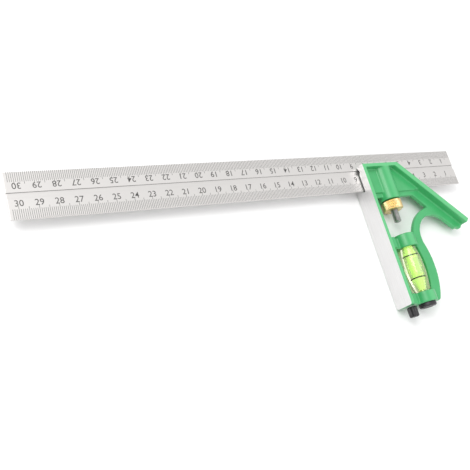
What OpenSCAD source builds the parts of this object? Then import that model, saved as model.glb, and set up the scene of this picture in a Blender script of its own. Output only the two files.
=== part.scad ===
// Combination square: a graduated steel rule that slides in a cast head with a 90 and a 45 degree face.
// Millimetres, lying on its side. The origin is the inside corner of the square: on the 90 degree face,
// at the rule's lower edge and in the middle of its thickness. +X runs into the head, +Y up along the
// 90 degree face, and +Z out of the side that shows the rule's groove.

/* [Rule] */
// Length of the rule, 12 inches
rule_len = 304.8; // [250:0.1:400]
// Width of the rule, 1 inch
rule_w = 25.4; // [25:0.1:30]
// Thickness of the rule
rule_t = 1.2; // [1:0.05:1.4]
// How far the rule's zero end stands past the 90 degree face
rule_out = 86; // [75:0.5:120]
// Width of the groove that the lock bolt's lug runs in
groove_w = 3; // [2.9:0.05:3.4]
// Depth of the groove
groove_d = 0.45; // [0.4:0.05:0.6]

/* [Head] */
// Thickness of the head over its flanges
head_t = 14.4; // [13:0.2:17]
// Height of the head's top above the rule's lower edge
top_y = 16.3; // [15.5:0.1:17]
// Length of the 90 degree face below the rule's lower edge
leg_len = 77.35; // [76:0.05:80]
// Where the 45 degree face would meet the line of the rule's lower edge
mitre_x = 45.4; // [44.6:0.1:46]
// How far the tip of the 45 degree face lies from the 90 degree face
tip_x = 73.9; // [72:0.1:75]
// Thickness of the plate that joins the flanges
web_t = 3; // [2.6:0.1:4]
// Thickness of the flange behind the 90 degree face
square_flange_t = 2.6; // [2.2:0.1:3]
// Thickness of the flange along the top
top_flange_t = 2.4; // [2.2:0.1:2.8]
// Thickness of the flange behind the 45 degree face
mitre_flange_t = 3.2; // [2.6:0.1:3.6]
// Radius of the thumb recess
thumb_r = 14.9; // [14.4:0.05:15.2]

/* [Lock bolt and nut] */
// Distance of the lock bolt's axis from the 90 degree face
bolt_x = 19.2; // [18:0.1:20]
// Diameter of the bolt's threaded shank
bolt_d = 4.8; // [4:0.1:5]
// Radius of the boss around the bolt
boss_r = 6.8; // [6.4:0.1:7.2]
// How far the bolt's end lies below the rule's lower edge
bolt_end_y = -23; // [-24:0.5:-20]
// Radius of the knurled nut
nut_r = 6.4; // [5.5:0.1:6.6]
// Height of the knurled nut
nut_h = 6.7; // [5:0.1:8]
// Number of knurls round the nut
knurls = 36; // [24:2:44]

/* [Vial] */
// Distance of the vial's axis from the 90 degree face
vial_x = 18.8; // [18.4:0.1:19.4]
// Radius of the barrel at its middle
vial_mid_r = 6.2; // [5.8:0.1:6.4]
// Radius of the barrel at its ends
vial_end_r = 4.9; // [4.7:0.1:5.4]
// Distance between the two reading rings
ring_gap = 14.5; // [13:0.1:15.5]

/* [Scriber] */
// Distance of the scriber's axis from the 90 degree face
scriber_x = 5.3; // [5:0.1:5.5]
// Diameter of the scriber's needle
needle_d = 2; // [1.6:0.1:2]
// Number of lobes round the scriber's knob
lobes = 6; // [5:1:8]
// Length of the scriber's knob
knob_h = 6.5; // [5:0.5:9]

/* [Hidden] */
$fn = 96;
cut = 1;

// Outline of the head: the upper part ends at the waist, where the thumb recess meets the belly
bottom_y = -leg_len;
top_x = mitre_x - top_y;
tip = [tip_x, mitre_x - tip_x];
arm_foot = tip - [4.3, 4.3];
arm_notch = arm_foot + [-3, 1.1];
thumb_c = [47.5, -35.9];
thumb_tangent = thumb_c + thumb_r * [cos(45), sin(45)];
underside_end = thumb_tangent + [6.6, -6.6];
belly_edge_x = 35.2;
belly_y = -54;
reach = thumb_r + belly_edge_x;
belly_x = (pow(reach, 2) - pow(thumb_c.x, 2) - pow(thumb_c.y - belly_y, 2)) / (2 * (reach - thumb_c.x));
belly_c = [belly_x, belly_y];
waist_crease = 0.05;
belly_r = belly_edge_x - belly_x + waist_crease;
waist = thumb_c + (belly_c - thumb_c) * thumb_r / norm(belly_c - thumb_c);
toe_r = 3;
toe_y = bottom_y + toe_r;
toe_c = [belly_x + sqrt(pow(belly_r - toe_r, 2) - pow(toe_y - belly_y, 2)), toe_y];
beyond = toe_c + (toe_c - belly_c) * 0.3;
corner_r = 1.5;

// The rule's slot and its thicker bed
bed_t = 6;
bed_y = -2.8;
slot_y = -0.3;
slot_back = -rule_t / 2 - 0.05;
slot_front = rule_t / 2 + 0.9;
groove_y = rule_w / 2;
relief_r = 1.7;
relief_z = 0.9;
root_r = 0.7;

// Window around the nut
nut_window_top = -5.8;
nut_window_mitre = 32.2;
nut_window_end_x = 46.8;
nut_window_bottom = -34.3;
web_arc_c = [50.4, -39.3];
web_arc_r = 24.2;

// Vial, its two sockets and its window
vial_mid_y = -55.4;
vial_half = 14.3;
stub_len = 3.9;
stub_r = vial_end_r - 0.4;
barrel_sag = vial_mid_r - vial_end_r;
barrel_r = (pow(vial_half, 2) + pow(barrel_sag, 2)) / (2 * barrel_sag);
socket_r = 7;
socket_top = [-41, -32.5];
socket_foot = [bottom_y, -70.5];
socket_bore = stub_r + 0.1;
socket_depth = 5;
vial_window_offset = 7.3;
vial_wall = 3;
cavity_r = vial_end_r - vial_wall;
cavity_mid_r = vial_mid_r - vial_wall;
cavity_mid_y = -53.8;
cavity_half = 15.2;
cap_h = 2;
bubble_r = 2;
bubble_half = 4.2;
bubble_z = cavity_mid_r - 1.6;
ring_w = 0.7;
ring_depth = 0.35;
ring_r = barrel(cavity_mid_r, ring_gap / 2) + ring_depth;

// Blocks and ribs that carry the scriber
block_x = 6.3;
block_top = [-41, -34];
block_foot = [bottom_y, -71];
rib_x = 7.4;
rib_foot_x = 8.2;
rib_t = 5.4;
sleeve_r = 1.8;
sleeve_len = 7.3;
needle_bore_r = 1.3;
needle_tip_y = -36.5;
needle_tip_len = 6;
knob_gap = 0.5;
knob_r = 3.1;

// Lock bolt, its spring and the nut
bore_r = 4.5;
shoulder_y = -7;
boss_end = -8.1;
boss_top = 14.8;
collar_r = bore_r - 0.15;
collar_y = -4;
flat_y = -1.5;
flat_z = rule_t / 2 + 0.15;
bolt_top = 13.5;
lug_t = 1.5;
lug_y = groove_y - groove_w / 2 + 0.15;
lug_half = 3.4;
lug_z = rule_t / 2 - groove_d + 0.1;
shank_hole_r = bolt_d / 2 + 0.2;
spring_wire_r = 0.25;
spring_r = 3.6;
spring_turns = 4;
nut_gap = 0.3;
nut_top = boss_end - nut_gap;
nut_bore_r = bolt_d / 2 + 0.05;
chamfer = 0.6;
knurl_d = 0.35;

// Plug that closes the vial's lower socket
plug_r = 5.4;
plug_h = 2.65;
spigot_r = stub_r + 0.05;
coin_slot_w = 1.4;
coin_slot_d = 1.1;

// Radius at a distance t from the middle of a barrel with middle radius r
function barrel(r, t) = r - barrel_r + sqrt(pow(barrel_r, 2) - pow(t, 2));

// Turned solid about an axis along Y at x, whose outline is given as [radius, y] points
module turned_y(x, points) {
    translate([x, 0, 0]) rotate([-90, 0, 0]) rotate_extrude() polygon(points);
}

// Round bar along Y from y0 to y1
module bar_y(x, r, y0, y1) {
    translate([x, y0, 0]) rotate([-90, 0, 0]) cylinder(h = y1 - y0, r = r);
}

// Block from corner a to corner b
module block(a, b) {
    translate(a) cube(b - a);
}

// Everything inside the head's outline, t thick
module outline(t) {
    difference() {
        union() {
            linear_extrude(t, center = true) polygon([
                [0, top_y], [top_x, top_y], tip, arm_foot, arm_notch, underside_end,
                thumb_tangent, [thumb_c.x, waist.y], [0, waist.y]]);
            intersection() {
                translate([belly_c.x, belly_c.y, 0]) cylinder(h = t, r = belly_r, center = true, $fn = 360);
                linear_extrude(t + cut, center = true) polygon([
                    [0, waist.y + cut], [beyond.x, waist.y + cut], beyond, toe_c, [toe_c.x, bottom_y],
                    [0, bottom_y]]);
            }
        }
        translate([thumb_c.x, thumb_c.y, 0]) cylinder(h = t + cut, r = thumb_r, center = true);
    }
    translate([toe_c.x, toe_c.y, 0]) cylinder(h = t, r = toe_r, center = true);
}

// Opening in the plate that gives the fingers room at the nut
module nut_window() {
    difference() {
        linear_extrude(web_t + cut, center = true) polygon([
            [square_flange_t, nut_window_top], [nut_window_mitre - nut_window_top, nut_window_top],
            [nut_window_end_x, nut_window_mitre - nut_window_end_x],
            [nut_window_end_x, nut_window_bottom], [square_flange_t, nut_window_bottom]]);
        translate([web_arc_c.x, web_arc_c.y, 0]) cylinder(h = web_t + 2 * cut, r = web_arc_r, center = true);
    }
}

// Opening in the plate that shows the vial from both sides
module vial_window() {
    intersection() {
        translate([belly_c.x, belly_c.y, 0])
            cylinder(h = rib_t + cut, r = belly_r - vial_window_offset, center = true, $fn = 360);
        block([rib_x, socket_foot[1], -rib_t], [belly_edge_x, socket_top[0], rib_t]);
    }
}

// Flange behind the 90 degree face, with its corners rounded
module square_flange() {
    mid_y = (top_y + bottom_y) / 2;
    half = [(top_y - bottom_y) / 2 - corner_r, head_t / 2 - corner_r];
    block([0, bottom_y + corner_r, -head_t / 2], [square_flange_t, top_y - corner_r, head_t / 2]);
    block([0, bottom_y, -half.y], [square_flange_t, top_y, half.y]);
    for (sy = [-1, 1], sz = [-1, 1])
        translate([0, mid_y + sy * half.x, sz * half.y])
            rotate([0, 90, 0]) cylinder(h = square_flange_t, r = corner_r, $fn = 48);
}

// Flanges along the top and behind the 45 degree face
module top_flanges() {
    foot = mitre_flange_t / sqrt(2);
    linear_extrude(head_t, center = true) polygon([
        [0, top_y], [top_x, top_y], tip, tip - [foot, foot],
        [top_x - 2 * foot + top_flange_t, top_y - top_flange_t], [0, top_y - top_flange_t]]);
}

// Thicker bed on both sides of the rule's slot
module rule_bed() {
    linear_extrude(bed_t, center = true) polygon([
        [0, top_y], [top_x, top_y], [mitre_x - bed_y, bed_y], [0, bed_y]]);
}

// Solid blocks and the long rib around the scriber's bore
module scriber_blocks() {
    for (span = [block_top, block_foot])
        block([0, span[0], -head_t / 2 + corner_r], [block_x, span[1], head_t / 2 - corner_r]);
    block([0, bottom_y, -rib_t / 2], [rib_x, block_top[1], rib_t / 2]);
    block([0, bottom_y, -rib_t / 2], [rib_foot_x, block_foot[1], rib_t / 2]);
}

// The slot that the rule slides in, with its reliefs
module rule_slot() {
    block([-cut, slot_y, slot_back], [mitre_x + 2 * cut, top_y + cut, slot_front]);
    translate([-cut, groove_y, relief_z]) rotate([0, 90, 0]) cylinder(h = mitre_x + 3 * cut, r = relief_r);
    translate([-cut, slot_y, slot_front - root_r])
        rotate([0, 90, 0]) cylinder(h = mitre_x + 3 * cut, r = root_r);
}

module head_casting() {
    color([0.29, 0.73, 0.45])
    difference() {
        union() {
            difference() {
                outline(web_t);
                nut_window();
            }
            square_flange();
            top_flanges();
            rule_bed();
            scriber_blocks();
            bar_y(bolt_x, boss_r, boss_end, boss_top);
            for (span = [socket_top, socket_foot]) bar_y(vial_x, socket_r, span[0], span[1]);
        }
        vial_window();
        rule_slot();
        bar_y(bolt_x, bore_r, shoulder_y, top_y + cut);
        bar_y(bolt_x, shank_hole_r, boss_end - cut, shoulder_y + cut);
        bar_y(vial_x, socket_bore, socket_top[0] - cut, socket_top[0] + socket_depth);
        bar_y(vial_x, socket_bore, bottom_y - cut, socket_foot[1] + cut);
        bar_y(scriber_x, sleeve_r, bottom_y - cut, bottom_y + sleeve_len);
        bar_y(scriber_x, needle_bore_r, bottom_y, needle_tip_y + cut);
    }
}

module rule() {
    color([0.88, 0.87, 0.86])
    difference() {
        block([rule_out - rule_len, 0, -rule_t / 2], [rule_out, rule_w, rule_t / 2]);
        block([rule_out - rule_len - cut, groove_y - groove_w / 2, rule_t / 2 - groove_d],
            [rule_out + cut, groove_y + groove_w / 2, rule_t]);
    }
}

// Threaded shank, collar, and a half-round head that passes beside the rule and carries the lug
module lock_bolt() {
    color([0.55, 0.55, 0.55])
    union() {
        turned_y(bolt_x, [
            [0, bolt_end_y], [bolt_d / 2 - chamfer, bolt_end_y], [bolt_d / 2, bolt_end_y + chamfer],
            [bolt_d / 2, collar_y + cut], [0, collar_y + cut]]);
        bar_y(bolt_x, collar_r, collar_y, flat_y);
        intersection() {
            bar_y(bolt_x, collar_r, collar_y + cut, bolt_top);
            block([bolt_x - boss_r, collar_y, flat_z], [bolt_x + boss_r, bolt_top + cut, boss_r]);
        }
        block([bolt_x - lug_half, lug_y, lug_z], [bolt_x + lug_half, lug_y + lug_t, flat_z + cut]);
    }
}

// Coil of wire between the shoulder in the bore and the bolt's collar
module lock_spring() {
    steps = spring_turns * 24;
    sides = 8;
    low = shoulder_y + spring_wire_r;
    rise = collar_y - shoulder_y - 2 * spring_wire_r;
    points = [for (i = [0 : steps], k = [0 : sides - 1])
        let (turn = i * 360 / 24, round = k * 360 / sides, r = spring_r + spring_wire_r * cos(round))
        [r * cos(turn), low + rise * i / steps + spring_wire_r * sin(round), r * sin(turn)]];
    start_cap = [for (k = [0 : sides - 1]) k];
    end_cap = [for (k = [sides - 1 : -1 : 0]) steps * sides + k];
    walls = [for (i = [0 : steps - 1], k = [0 : sides - 1])
        let (a = i * sides, next = (k + 1) % sides)
        [a + k, a + sides + k, a + sides + next, a + next]];
    color([0.7, 0.7, 0.72])
    translate([bolt_x, 0, 0]) polyhedron(points, concat([start_cap], walls, [end_cap]));
}

module lock_nut() {
    nut_foot = nut_top - nut_h;
    color([0.86, 0.74, 0.42])
    difference() {
        turned_y(bolt_x, [
            [nut_bore_r, nut_foot], [nut_r - chamfer, nut_foot], [nut_r, nut_foot + chamfer],
            [nut_r, nut_top - chamfer], [nut_r - chamfer, nut_top], [nut_bore_r, nut_top]]);
        for (i = [0 : knurls - 1])
            translate([bolt_x, nut_foot - cut, 0]) rotate([0, i * 360 / knurls, 0])
                translate([nut_r, 0, 0]) rotate([0, 45, 0])
                    translate([-knurl_d, 0, -knurl_d]) cube([2 * knurl_d, nut_h + 2 * cut, 2 * knurl_d]);
    }
}

// Shape of the vial's bore, which holds the liquid
module vial_cavity() {
    translate([vial_x, cavity_mid_y, 0]) rotate([-90, 0, 0]) rotate_extrude() intersection() {
        translate([0, -cavity_half]) square([cavity_mid_r, 2 * cavity_half]);
        translate([cavity_mid_r - barrel_r, 0]) circle(r = barrel_r, $fn = 720);
    }
}

// The air space at the top of the barrel when the square lies on its side
module bubble_shape() {
    intersection() {
        vial_cavity();
        translate([vial_x, cavity_mid_y, bubble_z]) union() {
            for (s = [-1, 1]) translate([0, s * bubble_half, 0]) sphere(r = bubble_r);
            rotate([90, 0, 0]) cylinder(h = 2 * bubble_half, r = bubble_r, center = true);
        }
    }
}

// Grooves that hold the two reading rings, round the vial's bore
module ring_grooves() {
    for (s = [-1, 1])
        bar_y(vial_x, ring_r, cavity_mid_y + (s * ring_gap - ring_w) / 2,
            cavity_mid_y + (s * ring_gap + ring_w) / 2);
}

module vial_body() {
    color([0.93, 0.97, 0.75, 0.5])
    difference() {
        union() {
            translate([vial_x, vial_mid_y, 0]) rotate([-90, 0, 0]) rotate_extrude() intersection() {
                translate([0, -vial_half]) square([vial_mid_r, 2 * vial_half]);
                translate([vial_mid_r - barrel_r, 0]) circle(r = barrel_r, $fn = 720);
            }
            bar_y(vial_x, stub_r, vial_mid_y - vial_half - stub_len, vial_mid_y + vial_half + stub_len);
        }
        vial_cavity();
        bar_y(vial_x, cavity_r, vial_mid_y - vial_half - stub_len - cut, cavity_mid_y - cavity_half);
        ring_grooves();
    }
}

// Closes the open lower end of the vial
module vial_cap() {
    end_y = vial_mid_y - vial_half - stub_len;
    color([0.95, 0.96, 0.85])
    bar_y(vial_x, cavity_r, end_y, cavity_mid_y - cavity_half);
}

module vial_liquid() {
    color([0.8, 0.98, 0.3, 0.8])
    difference() {
        vial_cavity();
        bubble_shape();
    }
}

module vial_bubble() {
    color([1, 1, 1, 0.5]) bubble_shape();
}

module vial_rings() {
    color([0.1, 0.1, 0.1])
    difference() {
        ring_grooves();
        vial_cavity();
    }
}

// Soft disc between the vial and the end of its upper socket
module vial_cushion() {
    color([0.2, 0.2, 0.2])
    bar_y(vial_x, stub_r, vial_mid_y + vial_half + stub_len, socket_top[0] + socket_depth);
}

module end_plug() {
    head_y = bottom_y - plug_h;
    color([0.16, 0.15, 0.17])
    difference() {
        union() {
            turned_y(vial_x, [
                [0, head_y], [plug_r - chamfer, head_y], [plug_r, head_y + chamfer],
                [plug_r, bottom_y], [0, bottom_y]]);
            bar_y(vial_x, spigot_r, bottom_y, vial_mid_y - vial_half - stub_len);
        }
        block([vial_x - plug_r - cut, head_y - cut, -coin_slot_w / 2],
            [vial_x + plug_r + cut, head_y + coin_slot_d, coin_slot_w / 2]);
    }
}

module scriber_needle() {
    r = needle_d / 2;
    color([0.75, 0.75, 0.76])
    turned_y(scriber_x, [
        [0, bottom_y - knob_gap - knob_h + 1.5], [r, bottom_y - knob_gap - knob_h + 1.5],
        [r, needle_tip_y - needle_tip_len], [0.1, needle_tip_y], [0, needle_tip_y]]);
}

module scriber_knob() {
    knob_top = bottom_y - knob_gap;
    lobe_r = 0.95;
    color([0.16, 0.15, 0.17])
    difference() {
        union() {
            bar_y(scriber_x, knob_r - 0.8, knob_top - knob_h, knob_top);
            for (i = [0 : lobes - 1]) {
                spoke = (knob_r - lobe_r) * [cos(i * 360 / lobes), sin(i * 360 / lobes)];
                translate([spoke.x, 0, spoke.y])
                    bar_y(scriber_x, lobe_r, knob_top - knob_h + chamfer, knob_top - chamfer, $fn = 32);
            }
        }
        bar_y(scriber_x, needle_d / 2, knob_top - knob_h + 1.5, knob_top + cut);
    }
}

// Bush that grips the needle
module scriber_sleeve() {
    color([0.85, 0.85, 0.8])
    difference() {
        bar_y(scriber_x, sleeve_r, bottom_y, bottom_y + sleeve_len);
        bar_y(scriber_x, needle_d / 2 + 0.05, bottom_y - cut, bottom_y + sleeve_len + cut);
    }
}

head_casting();
rule();
lock_bolt();
lock_spring();
lock_nut();
vial_body();
vial_cap();
vial_liquid();
vial_bubble();
vial_rings();
vial_cushion();
end_plug();
scriber_needle();
scriber_knob();
scriber_sleeve();
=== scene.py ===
"""Looks of a combination square: painted cast head, etched steel rule, lock nut, level vial and scriber."""

import math

import bmesh
import bpy
from mathutils import Matrix, Vector


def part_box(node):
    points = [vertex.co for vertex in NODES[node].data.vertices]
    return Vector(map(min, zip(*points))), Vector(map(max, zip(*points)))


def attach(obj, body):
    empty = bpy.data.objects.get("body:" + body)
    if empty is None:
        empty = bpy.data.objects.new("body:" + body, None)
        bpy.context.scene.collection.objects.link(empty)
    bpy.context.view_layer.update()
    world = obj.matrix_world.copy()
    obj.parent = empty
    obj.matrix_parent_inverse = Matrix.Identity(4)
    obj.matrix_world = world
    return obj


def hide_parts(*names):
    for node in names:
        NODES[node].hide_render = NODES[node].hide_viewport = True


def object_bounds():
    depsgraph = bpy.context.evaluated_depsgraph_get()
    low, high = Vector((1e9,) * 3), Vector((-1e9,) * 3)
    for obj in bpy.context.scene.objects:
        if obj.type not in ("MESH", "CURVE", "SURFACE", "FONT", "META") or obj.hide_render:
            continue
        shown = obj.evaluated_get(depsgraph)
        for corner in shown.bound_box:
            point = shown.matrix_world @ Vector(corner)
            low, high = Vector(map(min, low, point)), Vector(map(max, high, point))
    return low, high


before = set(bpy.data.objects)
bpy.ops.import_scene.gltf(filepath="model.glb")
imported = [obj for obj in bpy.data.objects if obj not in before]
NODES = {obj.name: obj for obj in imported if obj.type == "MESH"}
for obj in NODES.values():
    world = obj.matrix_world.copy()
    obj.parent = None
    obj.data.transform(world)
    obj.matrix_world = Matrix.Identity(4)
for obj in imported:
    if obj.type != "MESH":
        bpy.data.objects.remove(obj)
CAD_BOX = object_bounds()
MM = 0.001


# ---------------------------------------------------------------- mesh helpers

def new_object(name, mesh, mat, body):
    """Put a mesh in the scene, with its material, on the body it moves with."""
    ob = bpy.data.objects.new(name, mesh)
    bpy.context.scene.collection.objects.link(ob)
    mesh.materials.append(mat)
    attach(ob, body)
    return ob


def bake(ob):
    """Apply every modifier of ob, and keep the result as its mesh."""
    deps = bpy.context.evaluated_depsgraph_get()
    me = bpy.data.meshes.new_from_object(ob.evaluated_get(deps))
    ob.modifiers.clear()
    ob.data = me


def turned(name, centre, profile, segments, radius, smooth_angle, loop=False):
    """A solid turned about a line along Y. profile is (radius, y) from low y to high y.

    radius(r, y, angle) changes each point's radius, for knurls, lobes and threads. With loop, the profile
    goes round a bore and closes on itself.
    """
    rings = []
    for r, y in profile:
        ring = []
        for k in range(segments):
            a = 2 * math.pi * k / segments
            rr = radius(r, y, a)
            ring.append((centre[0] + rr * math.cos(a), y, centre[1] + rr * math.sin(a)))
        rings.append(ring)
    if loop:
        rings.append(rings[0])
    verts = [v for ring in rings for v in ring]
    faces = []
    for start in range(0, len(verts) - segments, segments):
        for k in range(segments):
            a, b = start + k, start + (k + 1) % segments
            faces.append((a, a + segments, b + segments, b))
    if not loop:
        faces.append(tuple(range(segments)))
        faces.append(tuple(reversed(range(len(verts) - segments, len(verts)))))
    me = bpy.data.meshes.new(name)
    me.from_pydata(verts, [], faces)
    me.update()
    for p in me.polygons:
        p.use_smooth = True
    me.set_sharp_from_angle(angle=math.radians(smooth_angle))
    bm = bmesh.new()
    bm.from_mesh(me)
    if loop:
        bmesh.ops.remove_doubles(bm, verts=bm.verts, dist=1e-7)
    bmesh.ops.recalc_face_normals(bm, faces=bm.faces[:])
    bm.to_mesh(me)
    bm.free()
    return me


def cut_flat(bm, point, normal):
    """Cut away what lies beyond a plane, and return the faces that close the cut."""
    cut = bmesh.ops.bisect_plane(
        bm, geom=bm.verts[:] + bm.edges[:] + bm.faces[:], dist=1e-7,
        plane_co=point, plane_no=normal, clear_outer=True)
    rim = [e for e in cut["geom_cut"] if isinstance(e, bmesh.types.BMEdge)]
    filled = bmesh.ops.triangle_fill(bm, edges=rim, use_beauty=True, use_dissolve=False, normal=normal)
    return [f for f in filled["geom"] if isinstance(f, bmesh.types.BMFace)]


def bevel(ob, width, segments=2, angle=35):
    mod = ob.modifiers.new("ease", "BEVEL")
    mod.width = width
    mod.segments = segments
    mod.limit_method = "ANGLE"
    mod.angle_limit = math.radians(angle)


def ease_edges(node, width, segments=2):
    """Round a CAD node's edges a little."""
    ob = NODES[node]
    weld = ob.modifiers.new("weld", "WELD")
    weld.merge_threshold = 1e-6
    bevel(ob, width, segments)


# ---------------------------------------------------------------- material helpers

class Shader:
    """A node material with a Principled shader and short ways to add noise, ramps and bump."""

    def __init__(self, name, color, roughness, metallic=0.0):
        self.mat = bpy.data.materials.new(name)
        self.mat.use_nodes = True
        self.tree = self.mat.node_tree
        self.bsdf = self.tree.nodes["Principled BSDF"]
        self.set("Base Color", (*color, 1))
        self.set("Roughness", roughness)
        self.set("Metallic", metallic)
        self.coords = self.tree.nodes.new("ShaderNodeTexCoord").outputs["Object"]

    def set(self, socket, value):
        self.bsdf.inputs[socket].default_value = value

    def link(self, a, b):
        self.tree.links.new(a, b)

    def scaled(self, scale):
        mapping = self.tree.nodes.new("ShaderNodeMapping")
        mapping.inputs["Scale"].default_value = scale
        self.link(self.coords, mapping.inputs["Vector"])
        return mapping.outputs["Vector"]

    def noise(self, scale, detail=4, rough=0.5, stretch=(1, 1, 1)):
        node = self.tree.nodes.new("ShaderNodeTexNoise")
        node.inputs["Scale"].default_value = scale
        node.inputs["Detail"].default_value = detail
        node.inputs["Roughness"].default_value = rough
        self.link(self.scaled(stretch), node.inputs["Vector"])
        return node.outputs["Fac"]

    def ramp(self, fac, stops):
        node = self.tree.nodes.new("ShaderNodeValToRGB")
        el = node.color_ramp.elements
        while len(el) < len(stops):
            el.new(0.5)
        for e, (pos, col) in zip(el, stops):
            e.position = pos
            e.color = (*col, 1)
        self.link(fac, node.inputs["Fac"])
        return node.outputs["Color"]

    def mix(self, fac, a, b):
        node = self.tree.nodes.new("ShaderNodeMix")
        node.data_type = "RGBA"
        for value, socket in ((fac, 0), (a, 6), (b, 7)):
            if isinstance(value, bpy.types.NodeSocket):
                self.link(value, node.inputs[socket])
            else:
                node.inputs[socket].default_value = value if socket == 0 else (*value, 1)
        return node.outputs[2]

    def rise(self, axis, start, end):
        """A value that is 0 below start and 1 above end, along one of the object's axes."""
        split = self.tree.nodes.new("ShaderNodeSeparateXYZ")
        self.link(self.coords, split.inputs[0])
        node = self.tree.nodes.new("ShaderNodeMapRange")
        node.inputs["From Min"].default_value = start
        node.inputs["From Max"].default_value = end
        self.link(split.outputs[axis], node.inputs["Value"])
        return node.outputs["Result"]

    def spread(self, fac, low, high):
        node = self.tree.nodes.new("ShaderNodeMapRange")
        node.inputs["To Min"].default_value = low
        node.inputs["To Max"].default_value = high
        self.link(fac, node.inputs["Value"])
        return node.outputs["Result"]

    def color(self, socket):
        self.link(socket, self.bsdf.inputs["Base Color"])

    def roughness(self, socket):
        self.link(socket, self.bsdf.inputs["Roughness"])

    def bump(self, height, strength, distance):
        node = self.tree.nodes.new("ShaderNodeBump")
        node.inputs["Strength"].default_value = strength
        node.inputs["Distance"].default_value = distance
        last = self.bsdf.inputs["Normal"]
        if last.links:
            self.link(last.links[0].from_socket, node.inputs["Normal"])
        self.link(height, node.inputs["Height"])
        self.link(node.outputs["Normal"], last)


def paint_green():
    """Green enamel, painted paler on the rims as a painted highlight, where they face up into the light."""
    s = Shader("head_enamel", (0.07, 0.46, 0.165), 0.34)
    cloud = s.noise(90, 3)
    body = s.ramp(cloud, [(0.3, (0.046, 0.375, 0.122)), (0.7, (0.06, 0.42, 0.148))])
    # Painted highlight: the faces highest in Z get a paler green, as if lit more strongly.
    lit_rims = s.rise("Z", 0.0064, 0.0071)
    s.color(s.mix(lit_rims, body, (0.11, 0.5, 0.2)))
    s.roughness(s.spread(s.noise(700, 2), 0.28, 0.42))
    s.bump(s.noise(1600, 3), 0.25, 0.00006)
    s.bump(s.noise(260, 2), 0.3, 0.00012)
    s.set("Coat Weight", 0.25)
    s.set("Coat Roughness", 0.22)
    return s.mat


def machined_face():
    """Bare zinc with the cutter's long parallel lines."""
    s = Shader("machined_zinc", (0.76, 0.75, 0.74), 0.38, 0.75)
    lines = s.noise(60, 4, 0.6, (1, 1, 70))
    s.color(s.ramp(lines, [(0.25, (0.66, 0.655, 0.65)), (0.75, (0.80, 0.795, 0.79))]))
    s.roughness(s.spread(s.noise(150, 3), 0.32, 0.5))
    s.bump(lines, 0.25, 0.00004)
    return s.mat


def slot_dark():
    """The slot's broached walls, painted near black as the shade inside the deep gap."""
    s = Shader("slot_walls_painted_shade", (0.012, 0.012, 0.012), 0.7)
    s.color(s.ramp(s.noise(400, 3), [(0.3, (0.008, 0.008, 0.008)), (0.7, (0.02, 0.02, 0.019))]))
    return s.mat


def groove_dark():
    """The groove's walls, painted dark as the shade inside the narrow groove."""
    s = Shader("groove_walls", (0.09, 0.088, 0.085), 0.6, 0.3)
    streaks = s.noise(300, 3, 0.5, (0.2, 1, 1))
    s.color(s.ramp(streaks, [(0.3, (0.06, 0.058, 0.056)), (0.7, (0.14, 0.136, 0.13))]))
    return s.mat


def rule_steel():
    """Satin steel, finely brushed along its length."""
    s = Shader("satin_rule_steel", (0.8, 0.785, 0.77), 0.4, 0.8)
    brushed = s.noise(40, 5, 0.65, (1, 60, 60))
    wide = s.noise(16, 2, 0.5, (1, 3, 1))
    s.color(s.mix(s.spread(wide, 0, 0.5), (0.72, 0.7, 0.685), (0.64, 0.625, 0.61)))
    s.roughness(s.spread(brushed, 0.34, 0.5))
    s.bump(brushed, 0.2, 0.00003)
    return s.mat


def etched_ink():
    s = Shader("etched_black", (0.05, 0.048, 0.046), 0.6)
    s.color(s.ramp(s.noise(900, 2), [(0.3, (0.06, 0.058, 0.056)), (0.75, (0.12, 0.116, 0.112))]))
    return s.mat


def brass():
    s = Shader("turned_brass", (0.9, 0.68, 0.31), 0.3, 1.0)
    s.color(s.ramp(s.noise(400, 3), [(0.3, (0.72, 0.53, 0.25)), (0.7, (0.86, 0.68, 0.37))]))
    s.roughness(s.spread(s.noise(900, 2), 0.22, 0.4))
    s.bump(s.noise(900, 2), 0.15, 0.00003)
    return s.mat


def plain_steel():
    s = Shader("plain_steel", (0.42, 0.42, 0.42), 0.36, 1.0)
    s.color(s.ramp(s.noise(500, 3), [(0.3, (0.34, 0.34, 0.34)), (0.7, (0.52, 0.52, 0.51))]))
    s.roughness(s.spread(s.noise(1200, 2), 0.28, 0.46))
    return s.mat


def wire_steel():
    s = Shader("spring_wire", (0.55, 0.55, 0.56), 0.3, 1.0)
    s.roughness(s.spread(s.noise(1500, 2), 0.22, 0.38))
    return s.mat


def needle_steel():
    s = Shader("polished_needle", (0.72, 0.72, 0.73), 0.18, 1.0)
    s.roughness(s.spread(s.noise(800, 2, 0.5, (1, 8, 1)), 0.12, 0.26))
    return s.mat


def black_plastic():
    s = Shader("moulded_black", (0.022, 0.021, 0.023), 0.38)
    s.color(s.ramp(s.noise(300, 3), [(0.3, (0.018, 0.017, 0.019)), (0.75, (0.032, 0.03, 0.033))]))
    s.roughness(s.spread(s.noise(1200, 2), 0.3, 0.48))
    s.bump(s.noise(1800, 2), 0.2, 0.00004)
    return s.mat


def clear_acrylic():
    s = Shader("clear_acrylic", (0.96, 1.0, 0.72), 0.04)
    s.set("Transmission Weight", 1.0)
    s.set("IOR", 1.49)
    s.roughness(s.spread(s.noise(300, 2), 0.03, 0.07))
    return s.mat


def vial_green():
    s = Shader("fluorescent_liquid", (0.68, 0.9, 0.33), 0.25)
    s.color(s.ramp(s.noise(60, 2), [(0.3, (0.64, 0.89, 0.3)), (0.7, (0.74, 0.93, 0.38))]))
    s.set("Transmission Weight", 0.35)
    s.set("IOR", 1.38)
    # Painted glow: the liquid emits light of its own so that it looks bright yellow-green.
    s.set("Emission Color", (0.72, 1.0, 0.4, 1))
    s.set("Emission Strength", 0.4)
    return s.mat


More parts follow.
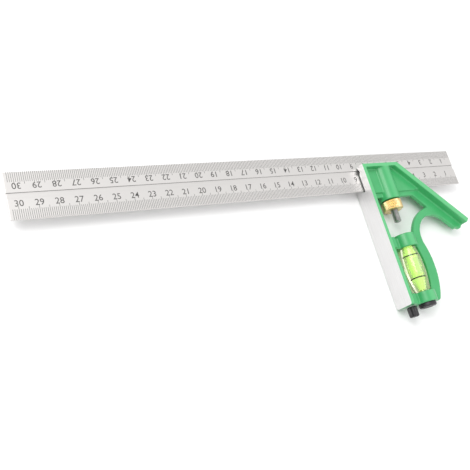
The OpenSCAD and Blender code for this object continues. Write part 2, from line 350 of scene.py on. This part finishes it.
def air():
    s = Shader("bubble_air", (0.97, 1.0, 0.9), 0.1)
    s.roughness(s.spread(s.noise(200, 2), 0.08, 0.14))
    s.set("Transmission Weight", 0.5)
    s.set("IOR", 1.2)
    return s.mat


def ring_ink():
    s = Shader("ring_black", (0.02, 0.022, 0.018), 0.5)
    s.roughness(s.spread(s.noise(500, 2), 0.4, 0.6))
    return s.mat


def soft_pad():
    s = Shader("soft_pad", (0.05, 0.05, 0.05), 0.85)
    s.bump(s.noise(900, 3), 0.4, 0.0001)
    return s.mat


def nylon():
    s = Shader("natural_nylon", (0.72, 0.71, 0.66), 0.45)
    s.roughness(s.spread(s.noise(600, 2), 0.4, 0.55))
    return s.mat


PAINT = paint_green()
BARE = machined_face()
SLOT_SHADE = slot_dark()
GROOVE_SHADE = groove_dark()
STEEL = rule_steel()
INK = etched_ink()
BRASS = brass()
BOLT = plain_steel()
WIRE = wire_steel()
NEEDLE = needle_steel()
BLACK = black_plastic()
CLEAR = clear_acrylic()
GREEN = vial_green()
AIR = air()
RING = ring_ink()
PAD = soft_pad()
NYLON = nylon()


def repaint(node, mat):
    me = NODES[node].data
    me.materials.clear()
    me.materials.append(mat)
    for p in me.polygons:
        p.material_index = 0


# ---------------------------------------------------------------- head

OVERSIZE = 0.5 * MM
CAST_GRAIN = 0.35 * MM
CAST_SOFTENING = 7
KEPT_FACES = 0.45
# The head's three materials
PAINTED, CUT, SLOT_SHADED = range(3)
# Where the slot's walls with painted shade begin and end, and the round relief over the rule's groove
BEHIND_FACE = 0.1 * MM
BELOW_TOP = 0.25 * MM
SLOT_FLOOR_Y = -0.7 * MM
SLOT_MIDDLE_Z = 0.4 * MM
SLOT_MARGIN = 0.55 * MM
RELIEF_Z = 0.9 * MM
RELIEF_R = 1.9 * MM


def in_slot(p, top, rule_low, rule_high):
    """Whether a point of the head lies on the walls of the rule's slot or of its relief."""
    if p.x < BEHIND_FACE or p.y > top - BELOW_TOP:
        return False
    beside_rule = SLOT_FLOOR_Y < p.y and abs(p.z - SLOT_MIDDLE_Z) < rule_high.z + SLOT_MARGIN
    middle = (rule_low.y + rule_high.y) / 2
    relief = (p.y - middle) ** 2 + (p.z - RELIEF_Z) ** 2 < RELIEF_R ** 2
    return beside_rule or relief


def oversize_copy(along):
    """The CAD head with its 90 and 45 degree faces moved out, and how far out the 45 degree face was."""
    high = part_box("head_casting")[1]
    me = NODES["head_casting"].data.copy()
    bm = bmesh.new()
    bm.from_mesh(me)
    bmesh.ops.remove_doubles(bm, verts=bm.verts, dist=1e-6)
    mitre = max(v.co.x + v.co.y for v in bm.verts)
    for v in bm.verts:
        if v.co.x + v.co.y > mitre - 1e-6:
            if v.co.x > high.x - 1e-5:
                v.co += along * OVERSIZE
            else:
                v.co.x += OVERSIZE * math.sqrt(2)
        elif v.co.x < 1e-6:
            v.co.x -= OVERSIZE
    bm.to_mesh(me)
    bm.free()
    me.materials.clear()
    return me, mitre


def casting():
    """The head as it is made: cast a little oversize with soft edges, then its two faces cut flat."""
    along = Vector((1, 1, 0)).normalized()
    me, mitre = oversize_copy(along)
    ob = new_object("head_painted_casting", me, PAINT, "head")
    remesh = ob.modifiers.new("cast", "REMESH")
    remesh.mode = "VOXEL"
    remesh.voxel_size = CAST_GRAIN
    soften = ob.modifiers.new("soften", "SMOOTH")
    soften.factor = 0.5
    soften.iterations = CAST_SOFTENING
    bake(ob)
    bm = bmesh.new()
    bm.from_mesh(ob.data)
    for point, normal in ((Vector((0, 0, 0)), Vector((-1, 0, 0))), (along * mitre / math.sqrt(2), along)):
        for f in cut_flat(bm, point, normal):
            f.material_index = CUT
    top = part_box("head_casting")[1].y
    rule_low, rule_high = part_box("rule")
    # The walls of the slot and of its relief get the near-black painted shade.
    for f in bm.faces:
        f.smooth = f.material_index == PAINTED
        if f.smooth and in_slot(f.calc_center_median(), top, rule_low, rule_high):
            f.material_index = SLOT_SHADED
    bmesh.ops.recalc_face_normals(bm, faces=bm.faces[:])
    for e in bm.edges:
        cut_sides = [f.material_index == CUT for f in e.link_faces]
        e.smooth = len(cut_sides) != 2 or cut_sides[0] == cut_sides[1]
    bm.to_mesh(ob.data)
    bm.free()
    for mat in (BARE, SLOT_SHADE)[len(ob.data.materials) - 1:]:
        ob.data.materials.append(mat)
    thin = ob.modifiers.new("thin", "DECIMATE")
    thin.ratio = KEPT_FACES
    bake(ob)
    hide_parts("head_casting")


# ---------------------------------------------------------------- rule

RULE_LOW, RULE_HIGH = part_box("rule")
ZERO_X = RULE_HIGH.x
FRONT_Z = RULE_HIGH.z
BACK_Z = RULE_LOW.z
RULE_W = RULE_HIGH.y - RULE_LOW.y
LINE_W = 0.2 * MM
LINE_T = 0.012 * MM
INCH = 25.4 * MM
NUMBER_SIZE = 4.8 * MM
BACK_NUMBER_SIZE = 4.4 * MM
# Heights of the rows of numbers above the rule's lower edge
LOW_ROW = 8.3 * MM
HIGH_ROW = RULE_W - 7.4 * MM
# How far the numbers stand beside their lines
LOW_SHIFT = 0.5 * MM
HIGH_SHIFT = 0.8 * MM


def scale_lines(name, count, spacing, length, z):
    """Lines on both edges of one face of the rule, as thin upright bars. length(i) is in mm."""
    verts, faces = [], []
    for i in range(1, count):
        x = ZERO_X - i * spacing
        tall = length(i) * MM
        for y0, y1 in ((0, tall), (RULE_W - tall, RULE_W)):
            n = len(verts)
            x0, x1 = x - LINE_W / 2, x + LINE_W / 2
            for level in (z - LINE_T, z + LINE_T):
                verts += [(x0, y0, level), (x1, y0, level), (x1, y1, level), (x0, y1, level)]
            faces += [(n + 3, n + 2, n + 1, n), (n + 4, n + 5, n + 6, n + 7)]
            for k in range(4):
                j = (k + 1) % 4
                faces.append((n + k, n + j, n + 4 + j, n + 4 + k))
    me = bpy.data.meshes.new(name)
    me.from_pydata(verts, [], faces)
    me.update()
    new_object(name, me, INK, "rule")


def millimetre_line(i):
    """Longer at each 5 and 10 mm."""
    if i % 10 == 0:
        return 7.0
    return 6.6 if i % 5 == 0 else 5.4


def sixteenth_line(i):
    """Longer at each inch, half, quarter and eighth."""
    for step, length in ((16, 6.2), (8, 5.0), (4, 4.0), (2, 3.0)):
        if i % step == 0:
            return length
    return 2.2


def digits(text, size):
    """A flat number in Blender's own font, as a mesh."""
    curve = bpy.data.curves.new("digits", "FONT")
    curve.body = text
    curve.size = size
    curve.align_x = "CENTER"
    curve.align_y = "CENTER"
    curve.resolution_u = 3
    curve.extrude = LINE_T
    curve.offset = 0.02 * MM
    ob = bpy.data.objects.new("digits", curve)
    bpy.context.scene.collection.objects.link(ob)
    me = bpy.data.meshes.new_from_object(ob.evaluated_get(bpy.context.evaluated_depsgraph_get()))
    bpy.data.objects.remove(ob)
    return me


def lettering(name, marks, size, z, facing):
    """Flat numbers, each (number, x, y, upside down or not). facing is 1 for the front, -1 for the back."""
    bm = bmesh.new()
    for number, x, y, turn in marks:
        place = Matrix.Translation((x, y, z)) @ Matrix.Rotation(math.pi * turn, 4, "Z")
        if facing < 0:
            place = place @ Matrix.Rotation(math.pi, 4, "X")
        me = digits(str(number), size)
        me.transform(place)
        bm.from_mesh(me)
        bpy.data.meshes.remove(me)
    out = bpy.data.meshes.new(name)
    bm.to_mesh(out)
    bm.free()
    out.materials.clear()
    new_object(name, out, INK, "rule")


def numbers():
    front, back = [], []
    for n in range(1, 31):
        x = ZERO_X - 10 * n * MM
        front.append((n, x + LOW_SHIFT, LOW_ROW, False))
        front.append((n, x + HIGH_SHIFT, HIGH_ROW, True))
    for n in range(1, 12):
        x = ZERO_X - n * INCH
        back.append((n, x, LOW_ROW, True))
        back.append((n, x, RULE_W - LOW_ROW, False))
    lettering("rule_numbers", front, NUMBER_SIZE, FRONT_Z, 1)
    lettering("rule_back_numbers", back, BACK_NUMBER_SIZE, BACK_Z, -1)


def groove_walls():
    """Give the two walls of the rule's groove their painted-shade material."""
    me = NODES["rule"].data
    me.materials.append(GROOVE_SHADE)
    for p in me.polygons:
        inside = RULE_LOW.y + 1 * MM < p.center.y < RULE_HIGH.y - 1 * MM
        # These walls get the dark painted shade.
        if inside and abs(p.normal.y) > 0.9 and p.center.z > 0:
            p.material_index = 1


# ---------------------------------------------------------------- lock nut and bolt

def knurled_nut():
    """Diamond knurls, from two sets of slanting grooves that cross."""
    low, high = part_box("lock_nut")
    centre = ((low.x + high.x) / 2, (low.z + high.z) / 2)
    r = (high.x - low.x) / 2
    bore = 2.45 * MM
    teeth = 34
    depth = 0.45 * MM
    lead = 0.35
    chamfer = 0.55 * MM
    rows = 26

    def knurl(rr, y, a):
        if rr < r - 0.2 * MM:
            return rr
        slant = lead * (y - low.y) / r
        one = abs(math.sin(teeth / 2 * (a + slant)))
        two = abs(math.sin(teeth / 2 * (a - slant)))
        return rr - depth * (1 - min(one, two) ** 0.8)

    side = high.y - low.y - 2 * chamfer
    band = [(r, low.y + chamfer + side * i / rows) for i in range(rows + 1)]
    flat_r = r - chamfer - depth
    shoulder_r = r - depth - 0.1 * MM
    lower = [
        (bore, low.y + 0.5 * MM), (bore + 0.5 * MM, low.y),
        (flat_r, low.y), (shoulder_r, low.y + chamfer * 0.6)]
    upper = [
        (shoulder_r, high.y - chamfer * 0.6), (flat_r, high.y),
        (bore + 0.4 * MM, high.y), (bore, high.y - 0.4 * MM)]
    profile = lower + band + upper
    me = turned("lock_nut_knurled", centre, profile, teeth * 8, knurl, 50, loop=True)
    ob = new_object("lock_nut_knurled", me, BRASS, "nut")
    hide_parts("lock_nut")


THREAD_TOP = -4.0 * MM


def threaded_shank():
    low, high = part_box("lock_bolt")
    crest = 2.4 * MM
    root = 2.0 * MM
    pitch = 0.8 * MM
    chamfer = 0.7 * MM
    chamfer_depth = 0.25 * MM
    step = pitch / 8
    rows = int((THREAD_TOP - low.y) / step)

    def thread(rr, y, a):
        if y >= THREAD_TOP - 0.6 * MM:
            return crest
        phase = ((y - low.y) / pitch - a / (2 * math.pi)) % 1
        wave = 1 - abs(2 * phase - 1)
        depth = min(1, max(0, (wave - 0.12) / 0.76))
        tip = root - chamfer_depth
        limit = tip + (crest - tip) * min(1, max(0, (y - low.y) / chamfer))
        return min(root + (crest - root) * depth, limit)

    profile = [(crest, low.y + step * i) for i in range(rows + 1)]
    me = turned("lock_bolt_thread", ((low.x + high.x) / 2, 0), profile, 64, thread, 60)
    ob = new_object("lock_bolt_threaded_shank", me, BOLT, "bolt")
    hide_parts("lock_bolt")


def bolt_head():
    """The hidden upper part keeps the CAD shape, cut off where the thread begins."""
    me = NODES["lock_bolt"].data.copy()
    bm = bmesh.new()
    bm.from_mesh(me)
    bmesh.ops.remove_doubles(bm, verts=bm.verts, dist=1e-6)
    cut_flat(bm, Vector((0, THREAD_TOP - 0.3 * MM, 0)), Vector((0, -1, 0)))
    bmesh.ops.recalc_face_normals(bm, faces=bm.faces[:])
    bm.to_mesh(me)
    bm.free()
    me.materials.clear()
    ob = new_object("lock_bolt_head", me, BOLT, "bolt")
    bevel(ob, 0.15 * MM, 2, 40)
    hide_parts("lock_bolt")


# ---------------------------------------------------------------- scriber

def lobed_knob():
    low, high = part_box("scriber_knob")
    centre = ((low.x + high.x) / 2, (low.z + high.z) / 2)
    r = (high.x - low.x) / 2
    c = 0.5 * MM
    lobes = 6
    valley = 0.66

    def lobe(rr, y, a):
        wave = (1 + math.cos(lobes * a)) / 2
        return rr * (valley + (1 - valley) * wave ** 0.6)

    profile = [
        (r * 0.45, low.y), (r * 0.72, low.y), (r - c * 0.8, low.y + 0.12 * MM),
        (r - c * 0.25, low.y + c * 0.7), (r, low.y + 2 * c), (r, high.y - 2 * c),
        (r - c * 0.25, high.y - c * 0.6), (r - c * 0.9, high.y - 0.1 * MM), (r * 0.5, high.y)]
    me = turned("scriber_knob_lobed", centre, profile, 96, lobe, 50)
    ob = new_object("scriber_knob_lobed", me, BLACK, "scriber")
    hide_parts("scriber_knob")


# ---------------------------------------------------------------- build

casting()
repaint("rule", STEEL)
groove_walls()
ease_edges("rule", 0.12 * MM)
scale_lines("rule_graduations", 304, MM, millimetre_line, FRONT_Z)
numbers()
scale_lines("rule_back_graduations", 192, INCH / 16, sixteenth_line, BACK_Z)
knurled_nut()
threaded_shank()
bolt_head()
for node, material in (
        ("lock_spring", WIRE), ("vial_body", CLEAR), ("vial_cap", CLEAR), ("vial_liquid", GREEN),
        ("vial_bubble", AIR), ("vial_rings", RING), ("vial_cushion", PAD), ("end_plug", BLACK),
        ("scriber_needle", NEEDLE), ("scriber_sleeve", NYLON)):
    repaint(node, material)
ease_edges("end_plug", 0.25 * MM, 3)
lobed_knob()


# ---------------------------------------------------------------- floor, light, camera

CAMERA_PLACE = Vector((-0.29019, -0.12856, 0.31225))
CAMERA_RIGHT = Vector((0.8625, -0.2662, 0.4304)).normalized()
CAMERA_BACK = Vector((-0.4971, -0.2859, 0.8193)).normalized()
FLOOR_HALF = 4
FLOOR_GAP = 0.0002


def area_light(name, place, aim, size, power):
    data = bpy.data.lights.new(name, "AREA")
    data.shape = "RECTANGLE"
    data.size, data.size_y = size
    data.energy = power
    ob = bpy.data.objects.new(name, data)
    bpy.context.scene.collection.objects.link(ob)
    ob.location = place
    ob.rotation_euler = (Vector(aim) - Vector(place)).to_track_quat("-Z", "Y").to_euler()


def stage():
    floor_z = CAD_BOX[0][2] - FLOOR_GAP
    far = FLOOR_HALF
    corners = [(-far, -far), (far, -far), (far, far), (-far, far)]
    me = bpy.data.meshes.new("floor")
    me.from_pydata([(x, y, floor_z) for x, y in corners], [], [(0, 1, 2, 3)])
    s = Shader("pale_floor", (0.93, 0.93, 0.93), 0.7)
    s.roughness(s.spread(s.noise(20, 2), 0.65, 0.75))
    me.materials.append(s.mat)
    ob = bpy.data.objects.new("floor", me)
    bpy.context.scene.collection.objects.link(ob)
    world = bpy.data.worlds.new("studio")
    world.use_nodes = True
    background = world.node_tree.nodes["Background"]
    background.inputs["Color"].default_value = (1, 1, 1, 1)
    background.inputs["Strength"].default_value = 0.95
    bpy.context.scene.world = world
    area_light("key", (-0.6, 0.35, 0.8), (-0.02, 0, 0), (0.6, 0.6), 5)
    area_light("fill", (0.5, -0.6, 0.7), (0, 0, 0), (0.8, 0.8), 1.5)


def camera():
    """Seen from the free end of the rule, above it and on the leg's side, with the camera rolled."""
    data = bpy.data.cameras.new("camera")
    data.sensor_width = 36
    data.lens = 52.68
    data.clip_start = 0.01
    ob = bpy.data.objects.new("camera", data)
    bpy.context.scene.collection.objects.link(ob)
    right, back = CAMERA_RIGHT, CAMERA_BACK
    ob.matrix_world = Matrix((right, back.cross(right), back)).transposed().to_4x4()
    ob.matrix_world.translation = CAMERA_PLACE
    bpy.context.scene.camera = ob


stage()
camera()
bpy.context.scene.view_settings.view_transform = "Standard"
